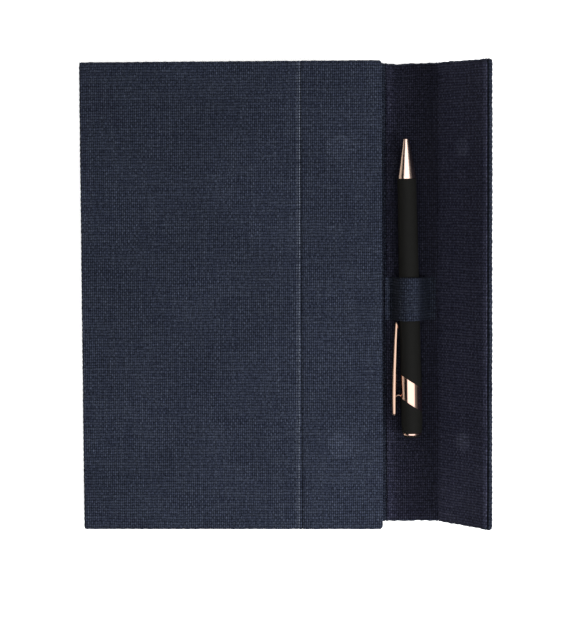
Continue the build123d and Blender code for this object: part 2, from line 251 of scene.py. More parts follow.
def cloth_material(name, tone=1.0, discs=(), crease=None, disc_lift=0.5, dye=DYE, groove=None, shade=(),
                   grain=0.40):
    """Plain-woven book cloth. "weave" holds cloth coordinates in metres, and 1 in Z on the outer face.

    discs are (u, v, radius) of magnets that show through, crease is where pale dotted threads run along V,
    with a painted shadow in the groove beside them, and groove is the middle of a painted shadow along a
    seam's groove. shade holds steps (axis, from, to, factor) of painted light and dark, which bring the
    tone near the photograph's. grain is how uneven the dye is between threads.
    """
    material, g = new_material(name)
    cloth = g.node("ShaderNodeAttribute", attribute_name="weave")
    parts = g.node("ShaderNodeSeparateXYZ", {"Vector": cloth.outputs["Vector"]})
    u0, v0, face = parts.outputs
    wander = g.noise(cloth.outputs["Vector"], 55.0, 3.0)
    u = g.add(u0, g.mul(g.add(wander, -0.5), THREAD_WANDER))
    cross_wander = g.noise(g.combine(v0, u0, 3.0), 70.0, 3.0)
    v = g.add(v0, g.mul(g.add(cross_wander, -0.5), THREAD_WANDER))
    jitter = g.noise(cloth.outputs["Vector"], 420.0, 1.0)
    u = g.add(u, g.mul(g.add(jitter, -0.5), THREAD_JITTER))
    v = g.add(v, g.mul(g.add(jitter, -0.5), -THREAD_JITTER))
    su = g.mul(u, 1.0 / (WARP_PITCH * MM))
    sv = g.mul(v, 1.0 / (WEFT_PITCH * MM))
    a = g.math("SINE", g.mul(su, math.pi))
    b = g.math("SINE", g.mul(sv, math.pi))
    round_a = g.math("POWER", g.math("ABSOLUTE", a), 0.8)
    round_b = g.math("POWER", g.math("ABSOLUTE", b), 0.6)
    warp = g.mul(round_a, g.add(g.mul(g.mul(g.math("SIGN", a), b), 0.36), 0.64))
    weft = g.mul(round_b, g.add(g.mul(g.mul(g.math("SIGN", b), a), -0.36), 0.64))
    on_top = g.math("GREATER_THAN", warp, weft)
    height = g.math("MAXIMUM", warp, weft)
    warp_id = g.math("FLOOR", su)
    weft_id = g.math("FLOOR", sv)
    warp_tone = g.noise(g.combine(g.mul(warp_id, 7.31), g.mul(v0, 60.0), 1.5), 1.0, 2.0, 0.6)
    weft_tone = g.noise(g.combine(g.mul(u0, 60.0), g.mul(weft_id, 5.77), 8.5), 1.0, 2.0, 0.6)
    thread_tone = g.lerp(on_top, weft_tone, warp_tone)
    fibre = g.noise(cloth.outputs["Vector"], 2600.0, 2.0, 0.7)
    broad = g.noise(cloth.outputs["Vector"], 28.0, 3.0, 0.55)
    crown = g.math("POWER", height, 2.2)
    # Painted light and shade on the weave: the crowns of the threads are lighter, the hollows between them
    # darker.
    light = g.add(g.mul(crown, 1.25), 0.22)
    light = g.mul(light, g.ramp(thread_tone, 0.25, 0.75, 0.78, 1.24))
    blotch = g.noise(cloth.outputs["Vector"], 700.0, 2.0, 0.6)
    light = g.mul(light, g.ramp(blotch, 0.25, 0.75, 1.0 - grain, 1.0 + grain))
    light = g.mul(light, g.ramp(fibre, 0.2, 0.8, 1.0 - grain, 1.0 + grain))
    light = g.mul(light, g.ramp(broad, 0.3, 0.7, 0.92, 1.08))
    # Painted light: the thread that lies on top is lighter.
    light = g.mul(light, g.lerp(on_top, 0.86, 1.16))
    colour = g.mix(g.ramp(thread_tone, 0.3, 0.7), (*dye, 1), (dye[0] * 1.12, dye[1] * 1.1, dye[2] * 0.98, 1))
    for along, start, end, factor in shade:
        light = g.mul(light, g.ramp((u0, v0)[along], start * MM, end * MM, 1.0, factor))
    colour = g.scale(colour, g.mul(light, tone))
    relief = g.add(height, g.mul(blotch, 0.5))
    for disc_u, disc_v, radius in discs:
        du = g.add(u0, -disc_u * MM)
        dv = g.add(v0, -disc_v * MM)
        distance = g.math("SQRT", g.add(g.mul(du, du), g.mul(dv, dv)))
        distance = g.add(distance, g.mul(g.add(cross_wander, -0.5), 0.0025))
        inside = g.mul(g.ramp(distance, (radius + 0.5) * MM, (radius - 0.7) * MM), face)
        worn = g.mul(inside, g.mul(crown, g.ramp(thread_tone, 0.25, 0.75, 0.35, 1.0)))
        colour = g.mix(g.mul(worn, 0.10 * disc_lift), colour, (*PALE_THREADS, 1))
        colour = g.scale(colour, g.add(g.mul(inside, 0.22 * disc_lift), 1.0))
    if crease is not None:
        # Lines of pale dotted threads along the crease's two ridges.
        for offset, strength, half in ((0.0, 0.85, 0.34), (-1.15, 0.32, 0.3)):
            skewed = g.add(g.add(u0, g.mul(v0, -CREASE_SKEW)), -(crease + offset) * MM)
            away = g.math("ABSOLUTE", g.add(skewed, g.mul(g.add(cross_wander, -0.5), 0.0008)))
            line = g.mul(g.ramp(away, half * MM, 0.08 * MM), face)
            patches = g.noise(g.combine(0.0, g.mul(v0, 330.0), 4.0), 1.0)
            dots = g.mul(g.ramp(g.math("ABSOLUTE", b), 0.2, 0.8), g.ramp(patches, 0.35, 0.6, 0.25, 1.0))
            colour = g.mix(g.mul(g.mul(line, dots), strength), colour, (*PALE_THREADS, 1))
        # Painted shadow in the groove beside the crease.
        away = g.math("ABSOLUTE", g.add(u0, -(crease + 0.95) * MM))
        dark = g.mul(g.ramp(away, 0.5 * MM, 0.1 * MM), face)
        colour = g.scale(colour, g.add(g.mul(dark, -0.6), 1.0))
    # Painted shadow along the seam's groove, deeper than the modelled groove gives.
    if groove is not None:
        away = g.math("ABSOLUTE", g.add(u0, -groove * MM))
        colour = g.scale(colour, g.add(g.mul(g.mul(g.ramp(away, 0.6 * MM, 0.3 * MM), face), -0.8), 1.0))
    rough = g.ramp(height, 0.2, 1.0, 0.95, 0.82)
    g.finish(principled(
        g, colour, rough, relief, 0.00022,
        Specular_IOR_Level=0.06, Sheen_Weight=0.006, Sheen_Roughness=0.5, Sheen_Tint=(0.55, 0.62, 0.8, 1),
    ))
    return material


def speckled(name, colour, dark, scale, rough=(0.5, 0.7), distance=0.00003, stretch=(1, 1, 1), **sockets):
    """A finish with fine grain: colour to dark by noise, roughness between two values, and a small bump."""
    material, g = new_material(name)
    place = g.node("ShaderNodeTexCoord")
    mapped = g.node("ShaderNodeMapping", {"Vector": place.outputs["Object"], "Scale": stretch})
    fine = g.noise(mapped.outputs[0], scale, 3.0, 0.6)
    coarse = g.noise(mapped.outputs[0], scale / 14.0, 2.0, 0.5)
    both = g.add(g.mul(fine, 0.65), g.mul(coarse, 0.35))
    shade = g.mix(g.ramp(both, 0.3, 0.7), (*dark, 1), (*colour, 1))
    g.finish(principled(g, shade, g.ramp(fine, 0.25, 0.75, *rough), fine, distance, **sockets))
    return material


def metal_material(name, colour, rough, tone=0.92):
    """Polished plating with hairline scratches along the pen and a little unevenness."""
    material, g = new_material(name)
    place = g.node("ShaderNodeTexCoord")
    lines = g.node("ShaderNodeMapping", {"Vector": place.outputs["Object"], "Scale": (9.0, 0.6, 9.0)})
    scratch = g.noise(lines.outputs[0], 900.0, 3.0, 0.7)
    smudge = g.noise(place.outputs["Object"], 90.0, 2.0)
    shade = g.mix(smudge, (*[c * tone for c in colour], 1), (*colour, 1))
    roughness = g.add(g.ramp(scratch, 0.35, 0.8, rough[0], rough[1]), g.mul(smudge, 0.03))
    g.finish(principled(g, shade, roughness, scratch, 0.0000015, Metallic=1.0))
    return material


def striped(name, colours, pitch, axis="Z"):
    """Thread wound round a core: two colours that take turns along an axis, with its relief."""
    material, g = new_material(name)
    place = g.node("ShaderNodeTexCoord")
    along = g.node("ShaderNodeSeparateXYZ", {"Vector": place.outputs["Object"]}).outputs[axis]
    wave = g.math("SINE", g.mul(along, math.pi / (pitch * MM)))
    fibre = g.noise(place.outputs["Object"], 3000.0)
    colour = g.mix(g.ramp(wave, -0.15, 0.15), (*colours[0], 1), (*colours[1], 1))
    colour = g.scale(colour, g.ramp(fibre, 0.3, 0.7, 0.75, 1.15))
    g.finish(principled(g, colour, 0.7, g.add(g.math("ABSOLUTE", wave), fibre), 0.00008))
    return material


U, V = 0, 1
# Painted shade, not wear or fading: it brings the tone near the photograph's where the light does not.
# The flap's inside is darkest beside the cover, lighter again past the fold, and has a painted highlight on
# the raised edge of its cloth near the free edge.
COVER_SHADE = ((U, -60.0, 70.0, 1.12), (V, -100.0, 100.0, 0.86))
FOLD_SHADE = (
    (U, GUSSET_X0 - 1.5, GUSSET_X0 + 6.5, 0.43), (U, GUSSET_X0 + 5.0, GUSSET_X0 + 17.0, 0.76),
    (U, HINGE_B[0] - 3.5, HINGE_B[0] + 3.5, 2.4), (U, HINGE_B[0] + 10.0, FREE_EDGE - 6.0, 0.82),
    (U, FREE_EDGE - 4.8, FREE_EDGE - 3.4, 1.9), (V, -100.0, 100.0, 0.80),
)
LOOP_SHADE = ((U, 1.8, 2.6, 0.3), (U, 4.0, 5.4, 1.2), (U, 20.0, 26.0, 0.65), (V, -100.0, 100.0, 0.86))
cover_discs = [(MAGNET_X, side * MAGNET_Y, MAGNET_R) for side in (-1, 1)]
flap_discs = [(FLAP_MAGNET_S, side * MAGNET_Y, FLAP_MARK_R) for side in (-1, 1)]
COVER_CLOTH = cloth_material("cover_cloth", 1.16, cover_discs, CREASE, disc_lift=0.6, shade=COVER_SHADE)
PLAIN_CLOTH = cloth_material("plain_cloth", groove=FREE_EDGE - 1.35)
INNER_CLOTH = cloth_material(
    "inner_cloth", 1.7, flap_discs, disc_lift=1.0, dye=INNER_DYE, shade=FOLD_SHADE, grain=0.46,
)
# Its high tone is painted light on the foot at the spine side; LOOP_SHADE paints a shadow beside that foot
# and brings the arch and the flap's side back down.
LOOP_CLOTH = cloth_material("loop_cloth", 2.8, shade=LOOP_SHADE)
PAPER = speckled("page_paper", (0.74, 0.71, 0.64), (0.66, 0.625, 0.55), 2200.0, (0.8, 0.95))
ENDPAPER = speckled("endpaper", (0.70, 0.68, 0.62), (0.60, 0.58, 0.52), 1500.0, (0.75, 0.9))
BOARD = speckled("grey_board", (0.33, 0.31, 0.28), (0.20, 0.185, 0.165), 1800.0, (0.85, 0.98), 0.00006)
# The two boards beside the crease are drawn navy, because their edges are bare on the inside.
DYED_BOARD = speckled(
    "dyed_board", (0.026, 0.030, 0.046), (0.017, 0.020, 0.032), 1800.0, (0.85, 0.98), 0.00006,
)
GAUZE = speckled("gauze", (0.62, 0.60, 0.55), (0.30, 0.29, 0.26), 1500.0, (0.85, 0.95), 0.00008)
SOFT_BLACK = speckled(
    "soft_black", (0.0082, 0.0082, 0.0076), (0.0064, 0.0064, 0.0060), 5200.0, (0.68, 0.8), 0.000012,
    Specular_IOR_Level=0.12,
)
# One plating in three tones, so that each part reflects about as the photograph shows it.
# The clip's darker tone is painted shade, and the nose's lighter tone is painted light.
CLIP_GOLD = metal_material("rose_gold_brushed_painted_dark", (0.62, 0.415, 0.32), (0.12, 0.20))
NOSE_GOLD = metal_material("rose_gold_satin_painted_light", (0.97, 0.72, 0.62), (0.17, 0.24))
ROSE_GOLD = metal_material("rose_gold", (0.945, 0.640, 0.530), (0.05, 0.11))
BRASS = metal_material("refill_brass", (0.80, 0.62, 0.32), (0.12, 0.24))
MAGNET = speckled("magnet_plate", (0.52, 0.52, 0.53), (0.40, 0.40, 0.41), 900.0, (0.25, 0.4), Metallic=1.0)
TWIST_PLASTIC = speckled("twist_plastic", (0.16, 0.16, 0.165), (0.12, 0.12, 0.125), 900.0, (0.35, 0.5))
REFILL_PLASTIC = speckled("refill_plastic", (0.55, 0.56, 0.58), (0.45, 0.46, 0.49), 700.0, (0.25, 0.4))
END_BAND = striped("end_band", ((0.03, 0.036, 0.06), (0.62, 0.60, 0.55)), WOUND_PITCH)

# ---------------------------- mesh helpers


def make_piece(name, points, faces, material, weave=None, smooth=True):
    """A mesh object from points and, for each face corner, cloth coordinates, both in millimetres."""
    mesh = bpy.data.meshes.new(name)
    mesh.from_pydata((np.asarray(points, float) * MM).tolist(), [], [list(map(int, f)) for f in faces])
    if weave is not None:
        scaled = np.array(weave, float).reshape(-1, 3)
        scaled[:, :2] *= MM
        attribute = mesh.attributes.new("weave", "FLOAT_VECTOR", "CORNER")
        attribute.data.foreach_set("vector", scaled.astype(np.float32).ravel())
    mesh.polygons.foreach_set("use_smooth", [smooth] * len(mesh.polygons))
    mesh.materials.append(material)
    mesh.update()
    piece = bpy.data.objects.new(name, mesh)
    bpy.context.scene.collection.objects.link(piece)
    return piece


def belong(piece, body, node):
    """Gives a piece its body, and hides the CAD node that it stands for, if any."""
    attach(piece, body)
    if node:
        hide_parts(node)
    return piece


def bend(piece):
    """Bakes a piece's placement into its points."""
    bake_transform(piece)


def ring_faces(rows, count, joined=False):
    """Faces between rows of count points, each row a ring. Joined, the last row meets the first."""
    total = rows * count
    faces = []
    for i in range(rows if joined else rows - 1):
        for k in range(count):
            a, b = i * count + k, i * count + (k + 1) % count
            faces.append((a, b, (b + count) % total, (a + count) % total))
    return faces


def smoothstep(value, low, high):
    t = np.clip((np.asarray(value, float) - low) / (high - low), 0, 1)
    return t * t * (3 - 2 * t)


def stations(low, high, step, marks=()):
    """Positions from low to high about a step apart, with the marks among them and room around each mark."""
    marks = [m for m in marks if low <= m <= high] + [low, high]
    regular = np.linspace(low, high, max(2, round((high - low) / step) + 1))
    kept = [r for r in regular if all(abs(r - m) > 0.55 * step for m in marks)]
    return np.unique(np.round(np.array(kept + marks), 4))


def streaks(across, along, pitch, length, seed):
    """Unevenness of single threads: constant across one thread, changing slowly along it, from -1 to 1."""
    threads, cells = 257, 131
    table = np.random.default_rng(seed).uniform(-1, 1, (threads, cells))
    thread = np.floor(across / pitch).astype(int) % threads
    t = along / length + 400
    cell = np.floor(t).astype(int)
    part = t - cell
    part = part * part * (3 - 2 * part)
    return table[thread, cell % cells] * (1 - part) + table[thread, (cell + 1) % cells] * part


def swell(x, y, size, seed):
    """Slow unevenness of a surface, from about -1 to 1."""
    picks = np.random.default_rng(seed)
    total = np.zeros(np.broadcast(x, y).shape)
    for _ in range(7):
        angle, phase = picks.uniform(0, 2 * math.pi, 2)
        wave = picks.uniform(0.6, 1.6) * 2 * math.pi / size
        total += np.sin((x * math.cos(angle) + y * math.sin(angle)) * wave + phase)
    return total / 4


def edge_wave(along, pitch, seed):
    """Waviness of a free edge: its threads, and a slower unevenness."""
    still = along * 0
    return (np.cos(2 * math.pi * along / (2 * pitch)) + 0.8 * streaks(along, still, pitch, 9, seed)
            + 0.7 * swell(along, still, 14, seed + 1))


EDGE_STEPS = (0.12, 0.35, 0.7, 1.1)  # rows of points this far in from an edge, to round it


def slab(name, material, x_range, half_y, top, bottom, free=(True, True), corner=(1.3, 1.6), radius=0.8,
         step=1.3, row=WEFT_PITCH / 2, marks=(), wave=0.06, relief=0.03, move=None, seed=1, middle_y=0.0):
    """Cloth over a board: a closed slab with rounded edges, thread by thread relief and wavy free edges.

    top and bottom give its faces at x, and move carries the finished points from the flat to where they lie.
    """
    x0, x1 = x_range
    edge_marks = [x0 + e for e in EDGE_STEPS if free[0]] + [x1 - e for e in EDGE_STEPS if free[1]]
    xs = stations(x0, x1, step, list(marks) + edge_marks)
    ends = [side * (half_y - e) for e in EDGE_STEPS for side in (-1, 1)]
    ys = stations(-half_y, half_y, row, ends)
    nx, ny = len(xs), len(ys)
    flat_x, flat_y = np.meshgrid(xs, ys, indexing="ij")
    x, y = flat_x.copy(), flat_y.copy()
    far = np.full_like(x, 1e3)
    left = flat_x - x0 if free[0] else far
    right = x1 - flat_x if free[1] else far
    end = half_y - np.abs(flat_y)
    reach = np.minimum(np.minimum(left, right), end)
    for distance, sign, edge, big in ((left, -1, x0, corner[0]), (right, 1, x1, corner[1])):
        near = (distance < big) & (end < big)
        a, b = (big - distance[near]) / big, (big - end[near]) / big
        larger = np.maximum(a, b)
        share = larger / np.maximum(np.hypot(a, b), 1e-9)
        x[near] = edge - sign * big * (1 - a * share)
        y[near] = np.sign(flat_y[near]) * (half_y - big * (1 - b * share))
        reach[near] = big * (1 - larger)
    high, low = top(flat_x), bottom(flat_x)
    rounding = np.minimum(radius, (high - low) * 0.48)
    inside = np.clip(rounding - reach, 0, None)
    drop = rounding - np.sqrt(np.clip(rounding**2 - inside**2, 0, None))
    arc = rounding * np.arcsin(np.clip(inside / rounding, 0, 1)) - inside
    threads = streaks(x, y, WARP_PITCH, 17, seed) + streaks(y, x, WEFT_PITCH, 17, seed + 1)
    lump = relief * (threads + 1.2 * swell(x, y, 26, seed + 2))
    side_wave = wave * edge_wave(y, WEFT_PITCH, seed + 3) + 1.3 * wave
    end_wave = wave * edge_wave(x, WARP_PITCH, seed + 5) + 1.3 * wave
    near_left, near_right, near_end = (1 - smoothstep(d, 0, 1.6) for d in (left, right, end))
    x += side_wave * (near_right - near_left)
    y += end_wave * near_end * np.sign(flat_y)
    y += middle_y
    upper = np.stack([x, y, high - drop + lump], -1).reshape(-1, 3)
    lower = np.stack([x, y, np.maximum(low + drop - 0.5 * lump, low)], -1).reshape(-1, 3)
    u = flat_x + arc * (near_right - near_left)
    v = flat_y + arc * near_end * np.sign(flat_y) + middle_y
    coords = np.stack([u, v, np.ones_like(u)], -1).reshape(-1, 3)
    under = coords * (1, 1, 0) + (0.3, 0.4, 0)
    first = (np.arange(nx - 1)[:, None] * ny + np.arange(ny - 1)[None, :]).ravel()
    quads = np.stack([first, first + ny, first + ny + 1, first + 1], -1)
    base = nx * ny
    rim = [(i * ny, (i + 1) * ny, (0, -1)) for i in range(nx - 1)]
    rim += [((nx - 1) * ny + j, (nx - 1) * ny + j + 1, (1, 0)) for j in range(ny - 1)]
    rim += [(i * ny + ny - 1, (i - 1) * ny + ny - 1, (0, 1)) for i in range(nx - 1, 0, -1)]
    rim += [(j, j - 1, (-1, 0)) for j in range(ny - 1, 0, -1)]
    a = np.array([r[0] for r in rim])
    b = np.array([r[1] for r in rim])
    out = np.array([(*r[2], 0) for r in rim], float)
    walls = np.stack([a + base, b + base, b, a], -1)
    depth = (upper[a, 2] - lower[a, 2])[:, None]
    wall_weave = np.stack([coords[a] + out * depth, coords[b] + out * depth, coords[b], coords[a]], 1)
    wall_weave = wall_weave * (1, 1, 0.0)
    faces = np.concatenate([quads, quads[:, ::-1] + base, walls])
    corners = (coords[quads], under[quads[:, ::-1]], wall_weave)
    weave = np.concatenate([part.reshape(-1, 3) for part in corners])
    points = np.concatenate([upper, lower])
    if move is not None:
        points = move(points)
    return make_piece(name, points, faces, material, weave)


def level(value):
    return lambda x: np.full_like(np.asarray(x, float), value)


# ---------------------------- front cover, crease and strip


def front_top(x):
    """Outer face across the crease: a ridge of threads, with a groove on each side of it."""
    d = x - CREASE
    ridge = 0.10 * np.exp(-((d / 0.3) ** 2)) + 0.05 * np.exp(-(((d + 1.15) / 0.25) ** 2))
    grooves = 0.32 * np.exp(-(((d - 0.95) / 0.38) ** 2)) + 0.14 * np.exp(-(((d + 0.6) / 0.25) ** 2))
    return Z_TOP + ridge - grooves - 0.05


def front_bottom(x):
    """Inner face, thinned to the cloth alone between the two boards."""
    gap = 1 - smoothstep(np.abs(x - CREASE), 0.5, 1.1)
    return Z_FRONT0 + gap * (Z_TOP - Z_FRONT0 - 1.0)


def raised_discs(points, middle_x, radius, above, lift):
    """Raises the cloth a little where the magnets lie under it, on the face higher than above."""
    lifted = points.copy()
    for side in (-1, 1):
        distance = np.hypot(points[:, 0] - middle_x, points[:, 1] - side * MAGNET_Y)
        mark = 1 - smoothstep(distance, radius - MARK_EDGE, radius + MARK_EDGE)
        lifted[:, 2] += np.where(points[:, 2] > above, lift * mark, 0)
    return lifted


def front_raised(points):
    return raised_discs(points, MAGNET_X, MAGNET_R, Z_TOP - 0.6, 0.12)


crease_marks = [CREASE + d for d in (-1.6, -1.15, -0.85, -0.6, -0.3, 0.0, 0.3, 0.6, 0.95, 1.3, 1.7)]
front_cloth = slab(
    "front_cloth_skin", COVER_CLOTH, (X0, X1), HALF_Y, front_top, front_bottom, marks=crease_marks,
    move=front_raised, seed=11,
)
bend(front_cloth)
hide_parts("front_cloth", "strip_cloth")

# ---------------------------- back cover and spine

HINGE_TONGUE = 3.4  # the back cover's cloth runs on past its board, under the gusset


def pull_ends(points):
    """Draws in the ends of the gusset, most beside the cover at the head, as the slack cloth there does."""
    x, y = points[:, 0], points[:, 1]
    onto_gusset = smoothstep(x, X1 + 0.1, GUSSET_X0 + 1.0)
    onto_flap = smoothstep(x, HINGE_B[0] - 1.0, HINGE_B[0] + 5.0)
    head = (0.35 + 0.6 * np.exp(-(((x - GUSSET_X0 - 6.0) / 5.0) ** 2))) * (1 - onto_flap)
    tail = 0.5 - 0.25 * onto_flap
    share = smoothstep(np.abs(y), HALF_Y - 30, HALF_Y)
    pulled = points.copy()
    pulled[:, 1] -= onto_gusset * share * np.where(y > 0, head, -tail)
    return pulled


def back_top(x):
    """Over the board, lower under the pasted paper, round its edge, then the cloth alone across the hinge."""
    d = np.clip(X1 - np.asarray(x, float), 0, 1.0)
    under_paper = 1 - smoothstep(x, X1 - PAPER_INSET - 0.5, X1 - PAPER_INSET - 0.1)
    over_board = COVER_T - 1.0 + np.sqrt(1 - (1 - d) ** 2) - 0.14 * under_paper
    tongue = np.where(x < GUSSET_X0 + 0.3, GUSSET_T - 0.2, CLOTH_T - 0.04)
    return np.where(x > X1 + 0.05, tongue, over_board)


back_marks = [X1 + d for d in (
    -3.5, -3.1, -2.8, -1.0, -0.75, -0.45, -0.2, -0.06, 0.0, 0.1, 0.4, 0.7,
    1.0, 1.3, 1.6, 1.9, 2.2, 2.5, 2.6, 2.9,
)]
back_cloth = slab(
    "back_cloth_skin", PLAIN_CLOTH, (X0 + 0.8, X1 + HINGE_TONGUE), HALF_Y - 0.1, back_top, level(0.0),
    free=(False, False), marks=back_marks, row=WEFT_PITCH, move=pull_ends, seed=21,
)
bend(back_cloth)
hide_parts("back_cloth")


def stand_spine(points):
    """Turns a flat slab upright: its length becomes height, its outer face points away from the pages."""
    return np.stack([X0 - points[:, 2], points[:, 1], points[:, 0]], -1)


def spine_outer(x):
    """Outer face of the spine: it stands a hair proud near the top."""
    return 0.03 * smoothstep(x, 18, 20)


def spine_inner(x):
    """Inner face of the spine: behind the board, then thin where the cloth crosses to the front cover."""
    return -0.36 - (SPINE_X1 - X0 - 0.36) * (1 - smoothstep(x, SPINE_TOP - 0.35, SPINE_TOP - 0.05))


spine_marks = [SPINE_TOP + d for d in (-0.7, -0.35, -0.2, -0.05, 0.1, 0.25, 0.4, 0.6, 0.9, 1.3)]
spine_cloth = slab(
    "spine_cloth_skin", PLAIN_CLOTH, (0.03, SPINE_TOP + 1.7), HALF_Y, spine_outer, spine_inner,
    corner=(0.6, 0.3), radius=0.7, row=WEFT_PITCH / 2, step=1.1, marks=spine_marks, move=stand_spine, seed=31,
)
spine_cloth.data.flip_normals()
bend(spine_cloth)
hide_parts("spine_cloth")

# ---------------------------- papers and linings


def sheet_piece(name, node, body, material, slot, x_range, z_range, half_y, **options):
    """Paper or cloth pasted flat on a board."""
    piece = slab(name, material, x_range, half_y, level(z_range[1]), level(z_range[0]), **options)
    return belong(piece, body, node)


paper = {"corner": (1.5, 1.5), "radius": 0.15, "step": 4.0, "row": 4.0, "wave": 0.03, "relief": 0.008}
sheet_piece(
    "front_pastedown_paper", "front_pastedown", "front_cover", ENDPAPER, "endpaper",
    (X0 + PAPER_INSET, CREASE - 1.2), (Z_FRONT0 - 0.04, Z_FRONT0 + 0.3), HALF_Y - PAPER_INSET,
    seed=41, **paper,
)
sheet_piece(
    "rear_pastedown_paper", "rear_pastedown", "back_cover", ENDPAPER, "endpaper",
    (X0 + PAPER_INSET, X1 - PAPER_INSET), (COVER_T - 0.3, COVER_T + 0.04), HALF_Y - PAPER_INSET,
    seed=43, **paper,
)
strip_lining = sheet_piece(
    "strip_lining_cloth", "strip_lining", "cover_strip", INNER_CLOTH, "lining_cloth",
    (CREASE + 1.2, X1 - CLOTH_INSET), (Z_FRONT0 - 0.06, Z_FRONT0 + 0.3), HALF_Y - CLOTH_INSET,
    corner=(0.4, 1.6), radius=0.16, step=1.3, row=WEFT_PITCH, wave=0.03, relief=0.015, seed=45,
)

# ---------------------------- gusset and flap

# The outer face bends through a short arc whose straight sides are the undersides of the gusset and the flap.
FOLD_MIDDLE = HINGE_B[0] + HINGE_B[2] * math.tan(FLAP_SLOPE / 2)
FOLD_HALF = 0.75
fold_s = np.linspace(GUSSET_X0 - 3.0, FREE_EDGE + 1, 4000)
fold_turn = FLAP_SLOPE * smoothstep(fold_s, FOLD_MIDDLE - FOLD_HALF, FOLD_MIDDLE + FOLD_HALF)
fold_x = fold_s[0] + np.concatenate([[0], np.cumsum(np.diff(fold_s) * np.cos(fold_turn[1:]))])
fold_z = np.concatenate([[0], np.cumsum(np.diff(fold_s) * np.sin(fold_turn[1:]))])


def fold_up(points):
    """Bends the flat gusset and flap up through the fold, measured from their outer face."""
    points = pull_ends(points)
    turn = np.interp(points[:, 0], fold_s, fold_turn)
    x = np.interp(points[:, 0], fold_s, fold_x) - points[:, 2] * np.sin(turn)
    z = np.interp(points[:, 0], fold_s, fold_z) + points[:, 2] * np.cos(turn)
    return np.stack([x, points[:, 1], z], -1)


def gusset_top(x):
    """Top of the cloth and board under the lining: it dips where there is no board."""
    on_gusset = 1 - smoothstep(x, GUSSET_X1 - 0.3, GUSSET_X1 + 1.3)
    on_flap = smoothstep(x, HINGE_B[0] - 1.1, HINGE_B[0] + 0.4)
    valley = CLOTH_T + 0.55
    over_board = 0.12 - LINING_T
    return valley + on_gusset * (GUSSET_T + over_board - valley) + on_flap * (FLAP_T + over_board - valley)


def outer_top(x):
    """The outer cloth's inner side: it comes up level with the inner cloth at the turned-in free edge."""
    rim = smoothstep(x, FREE_EDGE - 1.05, FREE_EDGE - 0.85)
    return gusset_top(x) + rim * (LINING_T - 0.14)


def lining_top(x):
    edge = np.exp(-(((x - (FREE_EDGE - SEAM_INSET - 0.6)) / 0.45) ** 2))
    return gusset_top(x) + LINING_T - 0.1 + 0.24 * edge


def lining_raised(points):
    """Lifts the inner cloth over the flap's magnets, then folds it up with the flap."""
    return fold_up(raised_discs(points, FLAP_MAGNET_S, FLAP_MARK_R, FLAP_T - 0.25, 0.08))


fold_marks = [HINGE_B[0] + d for d in np.arange(-2.6, 1.3, 0.2)]
seam_marks = [FREE_EDGE - d for d in (4.0, 3.4, 3.0, 2.6, 2.3, 2.0, 1.75, 1.4, 1.05, 0.95, 0.85)]
flap_outer = slab(
    "flap_outer_cloth", PLAIN_CLOTH, (GUSSET_X0 - 0.2, FREE_EDGE), HALF_Y, outer_top, level(0.0),
    free=(False, True), corner=(0.5, 1.5), radius=0.45, marks=fold_marks + seam_marks, wave=0.13,
    move=fold_up, seed=51,
)
flap_inner = slab(
    "flap_inner_cloth", INNER_CLOTH, (GUSSET_X0 - 0.15, FREE_EDGE - SEAM_INSET), HALF_Y - 0.55,
    lining_top, lambda x: gusset_top(x) - 0.12, free=(False, True), corner=(0.5, 1.6), radius=0.22,
    marks=fold_marks + seam_marks, wave=0.05, relief=0.022, move=lining_raised, seed=53,
)
for piece, nodes in (
    (flap_outer, ("gusset_cloth", "flap_cloth")),
    (flap_inner, ("gusset_lining", "flap_lining")),
):
    bend(piece)
    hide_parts(*nodes)

# ---------------------------- pen placement

PEN = joint_pos("pen_twist")
PEN_LEAN = math.radians(1.05)
PEN_PLACE = Matrix.Translation(PEN) @ Matrix.Rotation(PEN_LEAN, 4, "Z")
PLACE = np.array(PEN_PLACE)


def on_pen(points):
    """From the pen's own axes, its nose towards +Y, to where it lies."""
    return np.asarray(points, float) @ PLACE[:3, :3].T + PLACE[:3, 3]


# ---------------------------- pen loop

LOOP_Y = -2.2
LOOP_HALF = 10.1
LOOP_T = 0.5
LOOP_R = 5.25
LOOP_LEFT = 7.5
LOOP_RIGHT = 8.8
LOOP_LEAD = 0.3  # the line runs on this far past the band's ends


def loop_line(lift):
    """The loop's middle line in section, from the gusset's spine side to the flap's side, evenly spaced."""
    foot_z = GUSSET_T + LOOP_T / 2 + lift
    radius = LOOP_R + LOOP_T / 2
    rise = PEN[2] - foot_z
    points = [(GUSSET_X0 - 0.5 - LOOP_LEAD, foot_z)]
    for sign, foot in ((-1, LOOP_LEFT), (1, LOOP_RIGHT)):
        spread = foot + LOOP_T / 4
        tilt = math.acos(radius / math.hypot(spread, rise)) - math.atan2(rise, spread)
        foot_point = (PEN[0] + sign * spread, foot_z)
        arc = [(PEN[0] + sign * radius * math.cos(t), PEN[2] + radius * math.sin(t))
               for t in np.linspace(tilt, math.pi / 2, 14)]
        points += [foot_point] + arc if sign < 0 else arc[::-1][1:] + [foot_point]
    points.append((GUSSET_X1 + 0.1 + LOOP_LEAD, foot_z))
    line = np.array(points)
    for _ in range(2):
        run = np.concatenate([[0], np.cumsum(np.hypot(*np.diff(line, axis=0).T))])
        even = np.linspace(0, run[-1], 88)
        line = np.stack([np.interp(even, run, line[:, 0]), np.interp(even, run, line[:, 1])], -1)
        line[1:-1] = 0.25 * line[:-2] + 0.5 * line[1:-1] + 0.25 * line[2:]
    return line, even


loop_path, loop_run = loop_line(0.02)


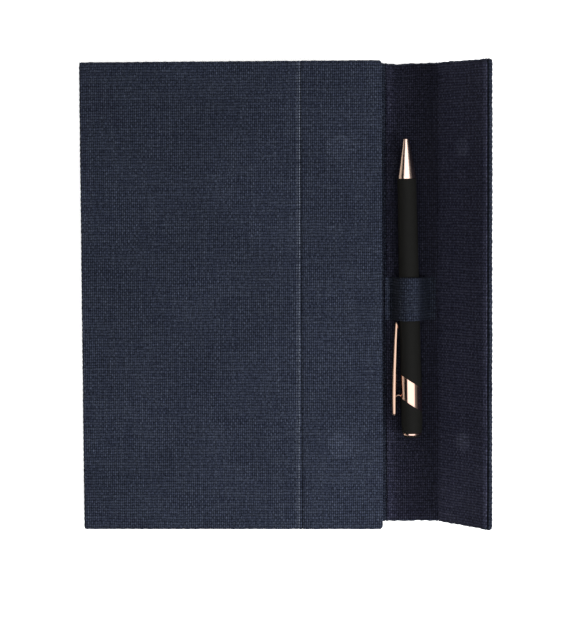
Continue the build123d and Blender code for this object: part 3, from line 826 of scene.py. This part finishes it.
def wrap_loop(points):
    """Bends a flat band along the loop's line, its outer face outwards."""
    x = np.interp(points[:, 0], loop_run, loop_path[:, 0])
    z = np.interp(points[:, 0], loop_run, loop_path[:, 1])
    along = np.gradient(loop_path, axis=0)
    along /= np.linalg.norm(along, axis=1)[:, None]
    tx = np.interp(points[:, 0], loop_run, along[:, 0])
    tz = np.interp(points[:, 0], loop_run, along[:, 1])
    lift = points[:, 2]
    return np.stack([x - tz * lift, points[:, 1], z + tx * lift], -1)


# The foot on the flap's side is pressed thin: it passes close to the front cover as the flap is lifted.
PRESSED = loop_run[-1] - LOOP_LEAD - (GUSSET_X1 - PEN[0] - LOOP_RIGHT)


def loop_top(u):
    return LOOP_T / 2 - 0.32 * smoothstep(u, PRESSED, PRESSED + 1.6)


pen_loop = slab(
    "pen_loop_cloth", LOOP_CLOTH, (LOOP_LEAD, loop_run[-1] - LOOP_LEAD), LOOP_HALF,
    loop_top, level(-LOOP_T / 2),
    corner=(0.5, 0.5), radius=0.24, step=0.42, row=WEFT_PITCH / 2, wave=0.07, relief=0.02,
    move=wrap_loop, seed=61, middle_y=LOOP_Y,
)
belong(pen_loop, "gusset", "pen_loop")

# ---------------------------- pen


def lathe(name, profile, material, node, body, segments=96, bevel=0.12, place=on_pen):
    """A turned piece round its own Y axis, from (radius, y) corners in order, each corner eased."""
    corners = [Vector(p) for p in profile]
    outline = []
    for before, corner, after in zip(corners[-1:] + corners[:-1], corners, corners[1:] + corners[:1]):
        if corner.x < 1e-6:
            outline.append(corner)
            continue
        back, ahead = before - corner, after - corner
        cut = min(bevel, 0.35 * back.length, 0.35 * ahead.length)
        start, end = corner + back.normalized() * cut, corner + ahead.normalized() * cut
        for t in (0.0, 0.33, 0.67, 1.0):
            outline.append((1 - t) ** 2 * start + 2 * t * (1 - t) * corner + t * t * end)
    count = len(outline)
    angles = np.linspace(0, 2 * math.pi, segments, endpoint=False)
    points = [(p.x * math.cos(t), p.y, p.x * math.sin(t)) for t in angles for p in outline]
    piece = make_piece(name, place(points), ring_faces(segments, count, joined=True), material)
    tidy_mesh(piece)
    return belong(piece, body, node)


def tidy_mesh(piece):
    """Joins the points that meet on an axis and turns every face outwards."""
    mesh = bmesh.new()
    mesh.from_mesh(piece.data)
    bmesh.ops.remove_doubles(mesh, verts=mesh.verts, dist=1e-7)
    bmesh.ops.dissolve_degenerate(mesh, dist=1e-7, edges=mesh.edges)
    bmesh.ops.recalc_face_normals(mesh, faces=mesh.faces)
    mesh.to_mesh(piece.data)
    mesh.free()
    piece.data.set_sharp_from_angle(angle=math.radians(35))


NOSE_TIP = 75.9
NOSE_TIP_R = 1.3
NOSE_BASE = 57.2
BARREL_END = -62.9
RING_END = -63.8
PEN_END = -64.8
BAND_TOP = -38.5
BAND_BOTTOM = -49.0
BAND_SLANT = 0.67

BORE_R = 3.05  # of the front barrel; the nose's spigot fills it
BARREL_FULL = -45  # where the rear barrel reaches its full thickness
TAIL_BORE = -58  # the rear barrel is solid past here
POINT_R = 0.75  # the hole for the writing point

lathe(
    "pen_rear_body",
    [(3.0, -0.15), (4.74, -0.15), (5.0, BARREL_FULL), (5.0, TAIL_BORE), (4.62, BARREL_END), (0, BARREL_END),
     (0, TAIL_BORE), (3.0, TAIL_BORE)],
    SOFT_BLACK, "pen_rear_barrel", "pen", bevel=0.2,
)
lathe(
    "pen_front_body", [(BORE_R, 1.2), (4.74, 1.2), (4.43, NOSE_BASE), (BORE_R, NOSE_BASE)],
    SOFT_BLACK, "pen_front_barrel", "pen_front",
)
lathe(
    "pen_nose_cone",
    [(1.9, NOSE_BASE - 6), (BORE_R, NOSE_BASE - 6), (BORE_R, NOSE_BASE), (4.25, NOSE_BASE),
     (4.22, NOSE_BASE + 1.0), (2.78, NOSE_BASE + 10.0), (NOSE_TIP_R, NOSE_TIP), (POINT_R, NOSE_TIP),
     (POINT_R, NOSE_TIP - 2.8), (1.4, NOSE_TIP - 2.8), (1.4, NOSE_TIP - 7.5), (1.9, NOSE_TIP - 7.5)],
    NOSE_GOLD, "pen_nose", "pen_front", bevel=0.15,
)
lathe(
    "pen_middle_ring", [(BORE_R, 0.0), (4.82, 0.0), (4.82, 1.2), (BORE_R, 1.2)],
    ROSE_GOLD, "pen_centre_ring", "pen_front",
)
lathe(
    "pen_tail_ring", [(1.5, BARREL_END), (4.55, BARREL_END), (4.5, RING_END), (1.5, RING_END)],
    ROSE_GOLD, "pen_end_ring", "pen", bevel=0.25,
)
lathe(
    "pen_tail_cap",
    [(0, BARREL_END), (1.5, BARREL_END), (1.5, RING_END), (4.2, RING_END), (3.6, PEN_END), (0, PEN_END)],
    SOFT_BLACK, "pen_end_cap", "pen", bevel=0.3,
)


def band_ring(name, inner, outer, top, bottom, node):
    """A sleeve on the rear barrel with both ends cut on the same slant and its edges eased."""
    ease = 0.07
    share_eased = ease / abs(top - bottom)
    section = [(inner, 0.0), (outer - ease, 0.0), (outer, share_eased), (outer, 1 - share_eased),
               (outer - ease, 1.0), (inner, 1.0)]
    segments = 128
    points = []
    for i in range(segments):
        t = 2 * math.pi * i / segments
        for radius, share in section:
            x = radius * math.cos(t)
            points.append((x, bottom + (top - bottom) * share - BAND_SLANT * x, radius * math.sin(t)))
    piece = make_piece(name, on_pen(points), ring_faces(segments, len(section), joined=True), ROSE_GOLD)
    tidy_mesh(piece)
    return belong(piece, "pen", node)


band_ring("pen_band_sleeve", 4.9, 5.09, BAND_TOP, BAND_BOTTOM, "pen_band")
for label, at in (("upper", BAND_TOP + 0.1), ("lower", BAND_BOTTOM - 0.1)):
    band_ring(f"pen_band_{label}_rim", 4.9, 5.16, at + 0.28, at - 0.28, None)


def swept_clip():
    """The clip's blade: a rounded strip that follows the barrel, narrower at both ends."""
    middle = [(-6.25, -10.1), (-6.45, -13.0), (-6.85, -19.0), (-7.25, -26.0), (-7.7, -34.0), (-8.02, -42.0),
              (-8.17, -48.0), (-8.25, -54.4)]
    half_t = [0.45, 0.62, 0.72, 0.80, 0.86, 0.9, 0.9, 0.8]
    half_w = [1.35, 1.62, 1.7, 1.7, 1.7, 1.7, 1.65, 1.45]
    line = np.array(middle)
    run = np.concatenate([[0], np.cumsum(np.hypot(*np.diff(line, axis=0).T))])
    even = np.linspace(0, run[-1], 60)
    cx, cy = (np.interp(even, run, line[:, k]) for k in (0, 1))
    thick, wide = np.interp(even, run, half_t), np.interp(even, run, half_w)
    for end in (0, -1):
        cap = np.abs(even - even[end])
        shape = np.sqrt(np.clip(1 - np.clip(1 - cap / 0.55, 0, 1) ** 2, 0.03, 1))
        thick, wide = thick * shape, wide * (0.6 + 0.4 * shape)
    tangent = np.stack([np.gradient(cx), np.gradient(cy)], -1)
    tangent /= np.linalg.norm(tangent, axis=1)[:, None]
    around = 28
    points = []
    for i in range(len(even)):
        nx, ny = -tangent[i, 1], tangent[i, 0]
        for k in range(around):
            t = 2 * math.pi * k / around
            c, s = math.cos(t), math.sin(t)
            a = math.copysign(abs(c) ** 0.5, c) * thick[i]
            w = math.copysign(abs(s) ** 0.35, s) * wide[i]
            points.append((cx[i] + nx * a, cy[i] + ny * a, w))
    faces = ring_faces(len(even), around)
    faces.append(tuple(range(around)))
    faces.append(tuple((len(even) - 1) * around + k for k in range(around)))
    return points, faces


clip_points, clip_faces = swept_clip()
clip = make_piece("pen_clip_blade", on_pen(clip_points), clip_faces, CLIP_GOLD)
tidy_mesh(clip)
belong(clip, "pen", "pen_clip")


def capsule_bar(name, path, radius_x, radius_z, body):
    """A short rounded bar along a path of (x, y) points in the pen's own axes."""
    line = np.array(path, float)
    around = 20
    points = []
    tangent = np.gradient(line, axis=0)
    tangent /= np.linalg.norm(tangent, axis=1)[:, None]
    for i, (x, y) in enumerate(line):
        nx, ny = -tangent[i, 1], tangent[i, 0]
        end = 0.55 if i in (0, len(line) - 1) else 1.0
        for k in range(around):
            t = 2 * math.pi * k / around
            a = math.cos(t) * radius_x * end
            points.append((x + nx * a, y + ny * a, math.sin(t) * radius_z * end))
    faces = ring_faces(len(line), around)
    faces.append(tuple(range(around)))
    faces.append(tuple((len(line) - 1) * around + k for k in range(around)))
    piece = make_piece(name, on_pen(points), faces, ROSE_GOLD)
    tidy_mesh(piece)
    return belong(piece, body, None)


half_turn = np.linspace(-math.pi / 2, math.pi / 2, 9)
bead = [(-5.85 + 0.25 * math.cos(t), -12.2 + 1.0 * math.sin(t)) for t in half_turn]
capsule_bar("pen_clip_bead", bead, 0.55, 1.5, "pen")
bridge = [(-8.0, -46.2), (-7.5, -45.6), (-6.9, -45.0), (-6.2, -44.7), (-5.5, -44.9), (-4.9, -45.3)]
capsule_bar("pen_clip_bridge", bridge, 0.5, 1.25, "pen")

# ---------------------------- pages

SHEET_PITCH = 0.25


def page_stack(name, node, body, seed, fold=0.8, slot="pages", material=PAPER):
    """Sheets lying on one another, each edge a little in or out, folded together on the spine side."""
    (x0, y0, z0), (x1, y1, z1) = mm_box(node)
    picks = np.random.default_rng(seed)
    sheets = max(1, round((z1 - z0) / SHEET_PITCH))
    pitch = (z1 - z0) / sheets
    fold = min(fold, 0.4 * (z1 - z0))
    levels = []
    for k in range(sheets):
        inset = picks.uniform(0.02, 0.14, 3)
        levels += [(z0 + (k + 0.12) * pitch, inset), (z0 + (k + 0.88) * pitch, inset)]
        if k + 1 < sheets:
            levels.append((z0 + (k + 1) * pitch, inset + 0.16))
    levels[0] = (z0, levels[0][1])
    levels[-1] = (z1, levels[-1][1])
    side_y = np.linspace(y0, y1, 45)
    side_x = np.linspace(x0, x1, 27)
    outline = [(x, -1) for x in side_x] + [(y, 2) for y in side_y[1:-1]] + [(x, 1) for x in side_x[::-1]]
    outline += [(y, -2) for y in side_y[::-1][1:-1]]
    points = []
    for z, inset in levels:
        depth = min(z - z0, z1 - z)
        rolled = fold - math.sqrt(max(fold**2 - max(fold - depth, 0) ** 2, 0))
        for value, side in outline:
            jitter = 0.02 * math.sin(value * 0.31 + seed) + 0.012 * math.sin(value * 0.83 + z * 9)
            if abs(side) == 1:
                x = min(max(value, x0 + rolled), x1 - inset[0])
                y = side * (y1 - inset[1] - jitter)
            else:
                x = x1 - inset[0] - jitter if side > 0 else x0 + rolled
                y = value
            y = max(-(y1 - inset[1]), min(y1 - inset[1], y))
            points.append((x, y, z))
    count = len(outline)
    faces = ring_faces(len(levels), count)
    faces.append(tuple(range(count))[::-1])
    faces.append(tuple((len(levels) - 1) * count + k for k in range(count)))
    piece = make_piece(name, points, faces, material, smooth=False)
    return belong(piece, body, node)


for n in range(1, 7):
    page_stack(f"pages_{n}", f"signature_{n}", "back_cover", 70 + n)
page_stack("pages_7", "signature_7", "middle_pages", 77)
page_stack("pages_8", "signature_8", "upper_pages", 78)
flyleaf = {"slot": "endpaper", "material": ENDPAPER}
page_stack("front_flyleaf_sheets", "front_flyleaves", "front_leaves", 79, **flyleaf)
page_stack("rear_flyleaf_sheet", "rear_flyleaf", "back_cover", 80, fold=0.1, **flyleaf)


def wound_band(name, node):
    """A band of thread wound round a cord, standing at one end of the pages' folds."""
    (x0, y0, z0), (x1, y1, z1) = mm_box(node)
    centre = ((x0 + x1) / 2, (y0 + y1) / 2)
    turns = round((z1 - z0) / WOUND_PITCH)
    profile = [(0, z0)]
    for k in range(turns * 4 + 1):
        share = k / (turns * 4)
        profile.append((0.82 + 0.08 * abs(math.sin(share * turns * math.pi)), z0 + share * (z1 - z0)))
    profile.append((0, z1))

    def upright(points):
        points = np.asarray(points, float)
        return np.stack([centre[0] + points[:, 0], centre[1] + points[:, 2], points[:, 1]], -1)

    return lathe(name, profile, END_BAND, node, "back_cover", segments=28, bevel=0.02,
                 place=upright)


wound_band("head_band_thread", "head_band")
wound_band("tail_band_thread", "tail_band")

# ---------------------------- CAD pieces that keep their shape

for finish, names in (
    (BOARD, ("back_board", "spine_board", "gusset_board", "flap_board")),
    (DYED_BOARD, ("front_board", "strip_board")),
    (MAGNET, ("front_magnets", "flap_magnets")),
    (GAUZE, ("spine_mull",)),
    (TWIST_PLASTIC, ("pen_twist_unit",)),
    (REFILL_PLASTIC, ("refill_tube",)),
    (BRASS, ("refill_point",)),
):
    for name in names:
        kept = frame["nodes"][name].data
        kept.materials.clear()
        kept.materials.append(finish)

# ---------------------------- floor and world

floor_mesh = bpy.data.meshes.new("floor")
FLOOR = 6.0
floor_mesh.from_pydata([(-FLOOR, -FLOOR, -0.0002), (FLOOR, -FLOOR, -0.0002), (FLOOR, FLOOR, -0.0002),
                        (-FLOOR, FLOOR, -0.0002)], [], [(0, 1, 2, 3)])
floor = bpy.data.objects.new("floor", floor_mesh)
bpy.context.scene.collection.objects.link(floor)
floor_material, g = new_material("floor_paper")
grain = g.noise(g.node("ShaderNodeTexCoord").outputs["Object"], 40.0)
floor_tone = g.mix(grain, (0.86, 0.86, 0.86, 1), (0.88, 0.88, 0.88, 1))
floor_shader = principled(g, floor_tone, 0.9, Specular_IOR_Level=0.1)
# It glows a little, so that the background is white up to the book.
floor_shader.inputs["Emission Color"].default_value = (1, 1, 1, 1)
floor_shader.inputs["Emission Strength"].default_value = 0.5
g.finish(floor_shader)
floor_mesh.materials.append(floor_material)

world = bpy.data.worlds.new("studio")
world.use_nodes = True
g = Graph(world.node_tree)
direction = g.node("ShaderNodeTexCoord").outputs["Generated"]
side, _, up = g.node("ShaderNodeSeparateXYZ", {"Vector": direction}).outputs
sky = g.mul(g.ramp(up, 0.70, 0.84, 0.36, 1.7), g.ramp(side, 0.38, 0.70, 1.0, 0.35))
strength = g.add(sky, g.ramp(up, 0.10, 0.04, 0.0, 0.40))
background = g.node("ShaderNodeBackground", {"Color": (1, 1, 1, 1), "Strength": strength})
world_out = g.node("ShaderNodeOutputWorld")
world.node_tree.links.new(background.outputs[0], world_out.inputs["Surface"])
bpy.context.scene.world = world
